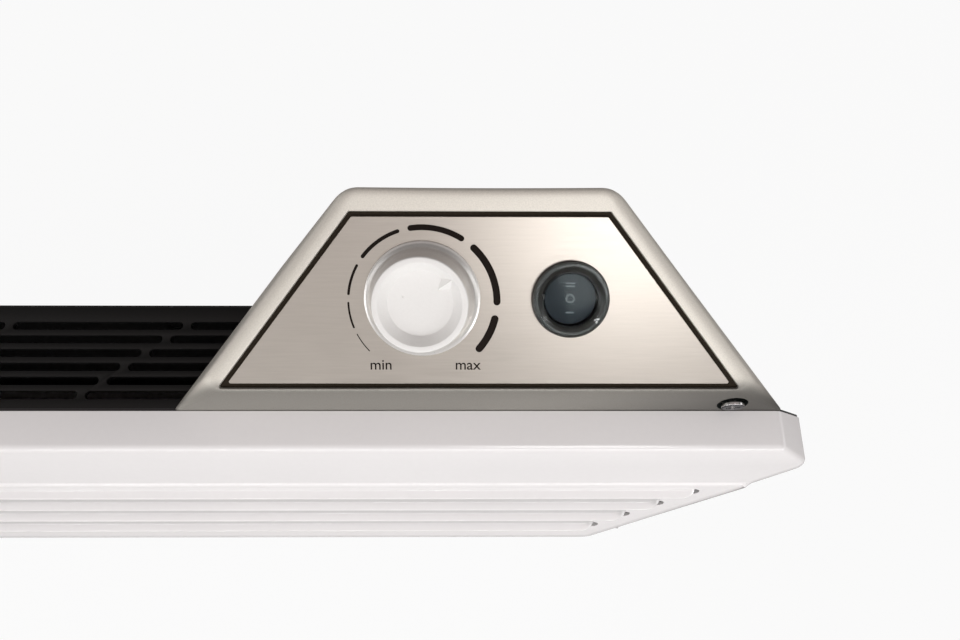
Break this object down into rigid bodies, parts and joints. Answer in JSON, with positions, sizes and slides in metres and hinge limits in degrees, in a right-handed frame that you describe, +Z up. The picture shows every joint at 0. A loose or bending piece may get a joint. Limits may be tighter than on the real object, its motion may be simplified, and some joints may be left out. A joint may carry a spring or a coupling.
{
  "type": "convector heater",
  "caption": "Slim electric panel convector with a faceted louvred front, a black top grille and a wedge-shaped control module with a thermostat knob and a rocker switch.",
  "frame": {"origin": "on the floor under the middle of the width and the depth", "axes": "+X to the right as one faces the front, +Y towards the wall, +Z up"},
  "size_m": [0.64, 0.1024, 0.451],
  "materials": {
    "white_paint": "satin",
    "black_paint": "matte",
    "champagne_silver": "satin",
    "face_metal": "satin",
    "knob_silver": "satin",
    "knob_white": "gloss",
    "black_plastic": "matte",
    "switch_black": "gloss",
    "clear_cover": "gloss",
    "zinc": "satin",
    "black_zinc": "satin",
    "brass": "satin",
    "copper": "satin",
    "aluminium": "matte",
    "steel": "satin",
    "ceramic": "matte",
    "gasket_foam": "matte",
    "buffer_rubber": "matte",
    "live_brown": "matte",
    "neutral_blue": "matte",
    "earth_green": "matte"
  },
  "bodies": {
    "root": {"front_panel": "white_paint", "rear_casing": "black_paint", "outlet_grille": "black_plastic", "intake_grille": "black_plastic", "panel_screws": "zinc", "grille_screws": "black_zinc", "module_shell": "champagne_silver", "module_base": "black_plastic", "face_gasket": "gasket_foam", "face_plate": "face_metal", "thermostat_body": "steel", "thermostat_nut": "zinc", "capillary_tube": "copper", "sensing_bulb": "copper", "bulb_clip": "steel", "switch_body": "black_plastic", "switch_bezel": "switch_black", "switch_cover": "clear_cover", "rocker_pin": "steel", "switch_tabs": "brass", "lock_screw": "zinc", "lock_bracket": "black_paint", "shell_screws": "black_zinc", "module_plug": "black_plastic", "casing_socket": "ceramic", "socket_pins": "brass", "cord_gland": "black_plastic", "gland_nut": "black_plastic", "heat_shield": "aluminium", "element_fins": "aluminium", "element_rod": "steel", "element_insulators": "ceramic", "element_brackets": "steel", "element_terminals": "brass", "overheat_cutout": "ceramic", "earth_stud": "brass", "live_wire": "live_brown", "neutral_wire": "neutral_blue", "earth_wire": "earth_green", "wall_bracket": "black_paint", "bracket_buffers": "buffer_rubber"},
    "knob": {"knob_skirt": "knob_silver", "knob_cap": "knob_white", "thermostat_spindle": "steel"},
    "rocker": {"switch_rocker": "switch_black"}
  },
  "joints": [
    {"name": "knob_turn", "type": "hinge", "parent": "root", "child": "knob", "pos_m": [0.181, 0.01751, 0.43232], "axis": [0, -0.5299, 0.848], "range_deg": [-80, 190]},
    {"name": "rocker_tip", "type": "hinge", "parent": "root", "child": "rocker", "pos_m": [0.23, 0.01942, 0.42927], "axis": [1, 0, 0], "range_deg": [-8, 8]}
  ]
}
